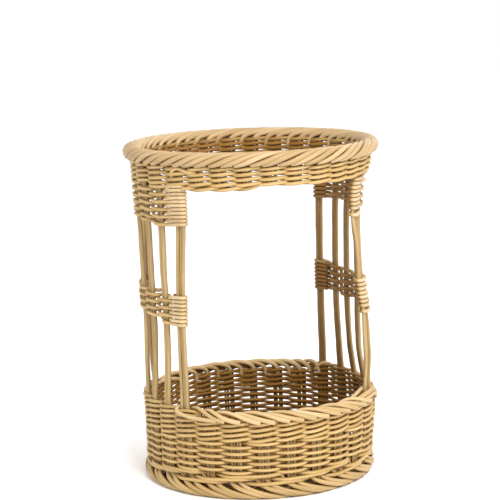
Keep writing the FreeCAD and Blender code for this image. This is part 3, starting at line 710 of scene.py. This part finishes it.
for side_name, sign in (("right", 1), ("left", -1)):
    shoulder = Canes("%s_shoulder_strands" % side_name)
    mid = Canes("%s_mid_strands" % side_name)
    if sign < 0:
        panel_row(shoulder, sign, -1, fan(-1, (330, 4.02), (327.6, 4.02), (327.4, 3.55), (327.8, 3.6)))
        for j in range(10):
            panel_row(shoulder, sign, j, fan(j, (330, 4.02), (327.6, 4.02), (327.4, 3.55), (327.8, 3.6)))
        panel_row(shoulder, sign, 10, fan(10, (330, 4.02), (328.6, 4.02), (327.4, 3.4), (327.8, 3.45)), first=2, last=3)
        for j in range(7):
            panel_row(mid, sign, j, fan(j, (215, 4.28), (213.1, 4.0), (211.6, 3.65), (210.2, 3.7)))
        panel_row(mid, sign, 7, fan(7, (215, 4.28), (213.1, 4.0), (211.6, 3.7), (210.2, 3.7)), last=1)
        panel_row(mid, sign, 7, fan(7, (215, 4.28), (213.1, 4.0), (211.6, 3.7), (210.2, 3.7)), first=4)
        panel_row(mid, sign, -1, fan(-1, (215, 4.28), (213.1, 4.0), (211.6, 3.1), (210.2, 3.1)), first=2, last=3)
    else:
        panel_row(shoulder, sign, -1, fan(-1, (328.2, 4.55), (327.4, 4.3), (327, 3.9), (327, 3.9)), first=1, last=4)
        for j in range(9):
            drop = 3.0 if j == 8 else 0.0
            lv = fan(j, (328.2, 4.55), (327.4, 4.3), (327, 3.9), (327, 3.9))
            lv[0] -= drop
            panel_row(shoulder, sign, j, lv, radius=1.98, spread=0.4)
        for j in range(8):
            drop = 2.0 if j == 7 else 0.0
            lv = fan(j, (216.0, 4.5), (214.2, 4.2), (212.4, 3.85), (211.5, 3.8))
            lv[0] -= drop
            panel_row(mid, sign, j, lv, parity=1, radius=1.95, spread=0.4)
    shoulder.build(weaver_mat, ["%s_shoulder_weave" % side_name, "%s_shoulder_wrap_front" % side_name, "%s_shoulder_wrap_back" % side_name])
    mid.build(weaver_mat, ["%s_mid_weave" % side_name, "%s_mid_wrap_front" % side_name, "%s_mid_wrap_back" % side_name])
    foot = Canes("%s_panel_foot_strands" % side_name)
    for j in range(2):
        zc = 86.9 + 4.8 * j
        for half in (0, 1):
            t = np.arange(int(3.35 * DIV), int(9.65 * DIV) + 1) / DIV
            c = np.cos(np.pi * (t - half - j))
            s = np.sin(np.pi * (t - half - j))
            fade = np.clip(np.minimum(t - 3.35, 9.65 - t) / 0.5, 0, 1)
            R = wall(zc) + 3.8 * plateau(c, 1.1) * fade - 1.0 * (1 - fade)
            zz = zc + 1.3 * s * sign - 3.0 * (1 - fade)
            foot.add(at(R, sign * t * STEP, zz), WEAVER * (0.9 + 0.1 * c * c), SIDES)
    foot.build(weaver_mat, ["%s_panel_foot_weave" % side_name])

# ---- stakes --------------------------------------------------------------------------------------------

def straight(theta, offset, z0, z1, dr=0.0, n=None, lean=0.0):
    n = n or max(6, int((z1 - z0) / 7))
    z = np.linspace(z0, z1, n)
    R = wall(z) + dr
    return at(np.hypot(R, offset), theta + np.degrees(np.arctan2(offset + lean * (z - z0), R)), z)


for side_name, sign in (("right", 1), ("left", -1)):
    for i in range(1, 7):
        k = sign * (3 + i)
        pair = Canes("%s_upright_pair_%d_canes" % (side_name, i))
        edge = i in (1, 6)
        for s in ((-1, 0, 1) if edge else (-1, 1)):
            off = s * ((4.2 if sign < 0 else 2.9) if edge else 2.55)
            dr = -1.3 if s == 0 else rng.normal(0, 0.15)
            rod = straight(k * STEP, off, 10.0, 358.0, dr=dr, n=80)
            if i == 1 and sign > 0 and s:      # this edge pair stands apart below and pinches in above the belt
                zz = rod[:, 2]
                fold = 1 + 0.55 * np.clip((186 - zz) / 34.0, 0, 1) - 0.4 * np.exp(-(((zz - 254) / 20.0) ** 2))
                R, th = np.hypot(rod[:, 0], rod[:, 1]), np.degrees(np.arctan2(rod[:, 0], -rod[:, 1]))
                R = R + (0.9 if s > 0 else -1.0) * np.interp(zz, [84, 96, 172, 192, 244, 258, 284, 300], [0.3, 1, 1, 0, 0, -0.3, 1, 0.4])
                rod = at(R, k * STEP + (th - k * STEP) * fold, zz)
            pair.add(rod, 2.05 if edge else 2.32, 12, wander=0.22, hollow="rod")
        for s in (-1, 1):       # thin side rods that fill the group in the lower wall
            pair.add(straight(k * STEP, s * (6.3 if edge else 5.9), 12.0, 86.0, n=16), 1.3, 8, wander=0.1, hollow="rod")
        pair.build(stake_mat, ["%s_upright_pair_%d" % (side_name, i)])

for side_name, ks in (("front", range(-3, 4)), ("back", range(10, 17))):
    rods = Canes("%s_window_stakes_canes" % side_name)
    for k in ks:
        for off in ((-4.6, -1.85, 1.85, 4.6) if k % 3 else (-3.4, 0.0, 3.2)):
            rods.add(straight(k * STEP, off + rng.normal(0, 0.12), 11.0, 84.0, dr=rng.normal(0, 0.2), n=18), 1.38 if k % 3 else 1.55, 8, wander=0.15, hollow="rod")
    rods.build(stake_mat, ["%s_window_stakes" % side_name])
    rods = Canes("%s_band_stakes_canes" % side_name)
    for i in range(8):
        c = (0 if side_name == "front" else 180) - W + (i + 1) * 2 * W / 9
        for s in (-1, 1):
            rods.add(straight(c, s * 2.9 + rng.normal(0, 0.15), 334.6, 357.0, n=8), 2.05, 10, hollow="rod")
    rods.build(stake_mat, ["%s_band_stakes" % side_name])


# ---- borders ---------------------------------------------------------------------------------------------

def border_strand(canes, theta, sign, profile, radius, jit=0.3, hollow=None):
    """profile: rows of (groups along, radius, height)."""
    dr, dz, da = rng.normal(0, jit * 0.5), rng.normal(0, jit * 0.4), rng.normal(0, 0.025)
    long = rng.uniform(0.985, 1.012)
    pts = [at(np.array(R + dr), np.array(theta + sign * (u * long * STEP + da * STEP)), np.array(z + dz)) for u, R, z in profile]
    canes.add(spline(np.array(pts), 1.7), radius, 12, wander=0.12, hollow=hollow)


def rim_point(u, phi, rr=6.0):
    return (u, 131.0 + rr * math.cos(math.radians(phi)), 361.3 + rr * 0.97 * math.sin(math.radians(phi)))


rim_profile = [(0.0, 127.3, 350.0), (-0.02, 126.4, 354.0), (-0.08, 125.2, 358.0)] + [
    rim_point(u, phi) for u, phi in ((-0.25, 172), (-0.55, 147), (-0.9, 120), (-1.22, 96), (-1.52, 70), (-1.79, 43), (-2.05, 15), (-2.3, -14))
] + [rim_point(-2.53, -42, 5.9), rim_point(-2.74, -68, 5.4)]
rim = Canes("rim_border_strands")
for i in range(2 * len(band_centres)):
    border_strand(rim, (i + 0.3) * 180.0 / len(band_centres) + 0.2 * rng.normal(0, 0.25), 1, rim_profile, 2.7, jit=0.15, hollow=(131.0, 361.3))
rim.build(border_mat, ["rim_border"])
# a dark core inside the rim: painted shade that fills the gaps between the rim strands
core = Canes("rim_core_cane")
t = np.arange(0, 360, 2.0)
core.add(at(np.full(len(t), 131.0), t, 361.2), 3.3, 12, closed=True, hollow=None)
core.build(shaded_core_mat)

sill_high = [
    (-0.02, 121.6, 76.0), (0.0, 121.2, 82.0), (0.06, 119.8, 87.0), (0.3, 118.8, 91.0), (0.65, 120.2, 92.6),
    (1.0, 122.8, 91.4), (1.35, 125.6, 88.7), (1.65, 127.1, 86.0), (1.9, 127.5, 83.9),
]
sill_low = [
    (-0.02, 121.6, 76.0), (0.0, 121.2, 82.0), (0.08, 120.2, 86.6), (0.3, 119.6, 89.9), (0.63, 121.2, 91.4),
    (0.98, 123.6, 90.4), (1.33, 126.0, 88.0), (1.64, 127.3, 85.6), (1.9, 127.6, 83.6),
]
edge_round = [   # from behind the edge pair, round its outer side and away in front of it
    (-3.75, 117.2, 86.0), (-3.95, 117.3, 91.6), (-4.15, 119.2, 94.4), (-4.3, 122.8, 93.4), (-4.24, 126.6, 90.8),
    (-3.98, 128.6, 88.6), (-3.55, 129.0, 86.9), (-3.1, 128.7, 86.0), (-2.58, 128.3, 85.0),
]
edge_over = [    # out beside the edge pair
    (-4.0, 116.8, 82.0), (-3.94, 117.0, 88.8), (-3.8, 117.9, 93.0), (-3.55, 120.0, 94.8), (-3.3, 122.8, 93.6),
    (-3.02, 125.6, 90.6), (-2.7, 127.9, 87.2), (-2.35, 128.6, 84.8),
]
edge_third = [
    (-3.42, 119.6, 82.0), (-3.36, 119.0, 88.2), (-3.16, 118.8, 92.0), (-2.9, 120.4, 93.4), (-2.62, 123.8, 91.2),
    (-2.32, 126.8, 88.2), (-2.0, 128.2, 85.8), (-1.75, 128.5, 84.4),
]
climb_in = [     # at the other edge: up behind the edge pair and over its outer side
    (2.3, 119.4, 82.0), (2.5, 119.2, 87.0), (2.8, 118.8, 90.4), (3.2, 118.4, 93.4), (3.6, 118.0, 95.6),
    (4.05, 118.4, 96.8), (4.4, 121.0, 96.0), (4.56, 124.4, 92.6), (4.64, 127.0, 87.4),
]
climb_mid = [
    (2.75, 121.2, 82.0), (2.85, 121.4, 87.0), (3.05, 123.0, 90.0), (3.35, 125.2, 92.6), (3.65, 127.2, 94.6),
    (3.95, 128.4, 95.6), (4.25, 128.8, 93.4), (4.48, 128.6, 89.4), (4.64, 128.2, 85.0),
]
climb_out = [
    (2.95, 122.6, 80.0), (3.1, 123.4, 84.4), (3.35, 125.6, 87.4), (3.65, 127.6, 89.6), (3.95, 128.9, 90.8),
    (4.25, 129.2, 89.2), (4.5, 128.8, 86.0), (4.68, 128.2, 82.4),
]
for side_name, base in (("front", 0.0), ("back", 180.0)):
    sill = Canes("%s_sill_border_strands" % side_name)
    for i, prof in enumerate((edge_round, edge_over, edge_third, climb_in, climb_mid, climb_out)):
        if base and i > 2:
            prof = [(u, R, 82 + (z - 82) * 0.6) for u, R, z in prof]
        border_strand(sill, base, 1, prof, 2.2 if i < 2 else 2.5, jit=0.1, hollow=(123.4, 84.5))
    for i in range(11):
        u = -3.02 + 0.5 * i
        border_strand(sill, base + u * STEP, 1, sill_high if i % 2 == 0 else sill_low, 2.6, jit=0.35, hollow=(123.4, 84.5))
    sill.build(sill_mat, ["%s_sill_border" % side_name])

foot_profile = [
    (-0.2, 119.0, 25.0), (-0.12, 119.6, 20.0), (0.02, 121.2, 15.6), (0.27, 124.6, 12.0), (0.65, 126.4, 8.3), (1.08, 125.9, 4.9),
    (1.5, 122.6, 2.75), (1.95, 118.3, 3.9), (2.35, 115.2, 7.4), (2.7, 114.2, 12.0),
]
foot = Canes("foot_border_strands")
for k in range(GROUPS):
    for off in (-0.18, 0.18):
        border_strand(foot, (k + off) * STEP, 1, foot_profile, 2.5, hollow=(120.0, 10.0))
foot.build(foot_mat, ["foot_border"])

# a weaver's end that arches up beside the left shoulder before it turns into the band
arch = Canes("left_shoulder_tail_strand")
arch.add(spline(at(np.array([125.0, 129.5, 131.2, 131.6, 131.2, 130.6, 129.0]), np.array([-58.6, -57.9, -56.6, -53.4, -50.2, -47.4, -44.0]) , np.array([339.0, 344.5, 349.6, 352.6, 350.6, 348.6, 348.0])), 1.5), 1.95, 12, hollow=None)
arch.build(weaver_mat)

# ---- base ------------------------------------------------------------------------------------------------

def stick_path(lane, level, turned):
    u = lane * 5.0
    phi = math.radians(lane * STEP)
    bend = 5.0 / math.radians(STEP) if abs(lane) < 1e-6 else u / math.sin(phi)
    half = [(u, bend * math.cos(phi), level), (38 * math.sin(phi), 38 * math.cos(phi), 0.0), (76 * math.sin(phi), 76 * math.cos(phi), 0.0), (114.4 * math.sin(phi), 114.4 * math.cos(phi), 0.0)]
    pts = [(x, -y, z) for x, y, z in reversed(half)] + half
    c, s = math.cos(math.radians(turned)), math.sin(math.radians(turned))
    return np.array([(c * x - s * y, s * x + c * y, 20.0 + z) for x, y, z in pts])


for name, lanes, level, turned in (("base_sticks_lengthwise", range(7), 2.4, 0.0), ("base_sticks_crosswise", range(6), -2.4, 90.0)):
    sticks = Canes(name + "_canes")
    for i in lanes:
        lane = i - (len(lanes) - 1) / 2
        sticks.add(spline(stick_path(lane, level, turned), 4.0), 2.4, 10, warped=False)
    sticks.build(stake_mat, [name])

disc = Canes("base_weave_strands")
rows = 20
for j in range(rows):
    r = 39.8 + j * (113.0 - 39.8) / (rows - 1)
    n = GROUPS
    div = 10
    t = np.arange(n * div) / div
    c = np.cos(np.pi * t) * (1 if j % 2 else -1)
    z = 20.0 + (4.15 if r > 60 else 3.9) * plateau(c, 1.0)
    disc.add(at(r + jitter(n, 0.15, div), t * STEP, z), 1.8, 8, closed=True, warped=False)
disc.build(weaver_mat, ["base_weave"])

tie = Canes("cross_binding_strands")
for j in range(3):
    t = np.arange(0, 360, 4.0)
    r = 27.9 + 3.5 * j
    z = 20.0 + (6.2 if j < 2 else 5.6) * np.cos(np.radians(2 * t)) * (1 if j % 2 == 0 else -1)
    tie.add(at(np.full(len(t), r), t, z), 1.75, 8, closed=True, warped=False)
tie.build(weaver_mat, ["cross_binding"])

# ---- stage -----------------------------------------------------------------------------------------------

def plain(name, colour, rough):
    mat = bpy.data.materials.new(name)
    mat.use_nodes = True
    b = mat.node_tree.nodes["Principled BSDF"]
    b.inputs["Base Color"].default_value = (*colour, 1)
    b.inputs["Roughness"].default_value = rough
    b.inputs["Specular IOR Level"].default_value = 0.2
    return mat


mesh = bpy.data.meshes.new("floor")
mesh.from_pydata([(-60, -60, 0), (60, -60, 0), (60, 60, 0), (-60, 60, 0)], [], [(0, 1, 2, 3)])
floor = bpy.data.objects.new("floor", mesh)
mesh.materials.append(plain("floor_white", (0.985, 0.985, 0.985), 0.9))
bpy.context.scene.collection.objects.link(floor)

scene = bpy.context.scene
world = bpy.data.worlds.new("studio")
world.use_nodes = True
world.node_tree.nodes["Background"].inputs[0].default_value = (1.0, 1.0, 1.0, 1)
world.node_tree.nodes["Background"].inputs[1].default_value = 1.04
scene.world = world


def area(name, loc, target, size, watts, colour=(1, 1, 1)):
    light = bpy.data.lights.new(name, "AREA")
    light.shape = "RECTANGLE"
    light.size, light.size_y = size
    light.energy = watts
    light.color = colour
    obj = bpy.data.objects.new(name, light)
    scene.collection.objects.link(obj)
    from mathutils import Vector
    d = Vector(target) - Vector(loc)
    obj.rotation_euler = d.to_track_quat("-Z", "Y").to_euler()
    obj.location = loc
    return obj


def round_about(az, dist, z):
    """A place at azimuth az from the camera's side, positive to the camera's right."""
    a = math.radians(az - VIEW)
    return (dist * math.sin(a), -dist * math.cos(a), z)


area("key", round_about(25, 1.5, 1.45), (0, 0, 0.2), (0.8, 0.8), 28.5)
area("rear", round_about(150, 1.6, 1.4), (0, 0, 0.25), (0.9, 0.7), 6)

# camera: the photograph's place, 16.1 degrees round from the window's middle, a little above the rim
pitch, yaw, roll = math.radians(9.56), math.radians(-0.11), -0.0317
fw = np.array([math.sin(yaw) * math.cos(pitch), math.cos(yaw) * math.cos(pitch), -math.sin(pitch)])
rt = np.array([math.cos(yaw), -math.sin(yaw), 0.0])
up = np.cross(rt, fw)
c, s = math.cos(roll), math.sin(roll)
r2, u2 = c * rt + s * up, -s * rt + c * up
a = math.radians(-VIEW)
turn = np.array([[math.cos(a), -math.sin(a), 0], [math.sin(a), math.cos(a), 0], [0, 0, 1]])
r2, u2, fw = turn @ r2, turn @ u2, turn @ fw
pos = turn @ np.array([0.0, -1.8449, 0.5575])
cam_data = bpy.data.cameras.new("camera")
cam_data.sensor_width = 36.0
cam_data.lens = 1693.5 / 500.0 * 36.0
cam_data.clip_start, cam_data.clip_end = 0.01, 50
cam = bpy.data.objects.new("camera", cam_data)
scene.collection.objects.link(cam)
m = Matrix.Identity(4)
for i in range(3):
    m[i][0], m[i][1], m[i][2], m[i][3] = r2[i], u2[i], -fw[i], pos[i]
cam.matrix_world = m
scene.camera = cam
scene.view_settings.view_transform = "Standard"
scene.view_settings.look = "None"
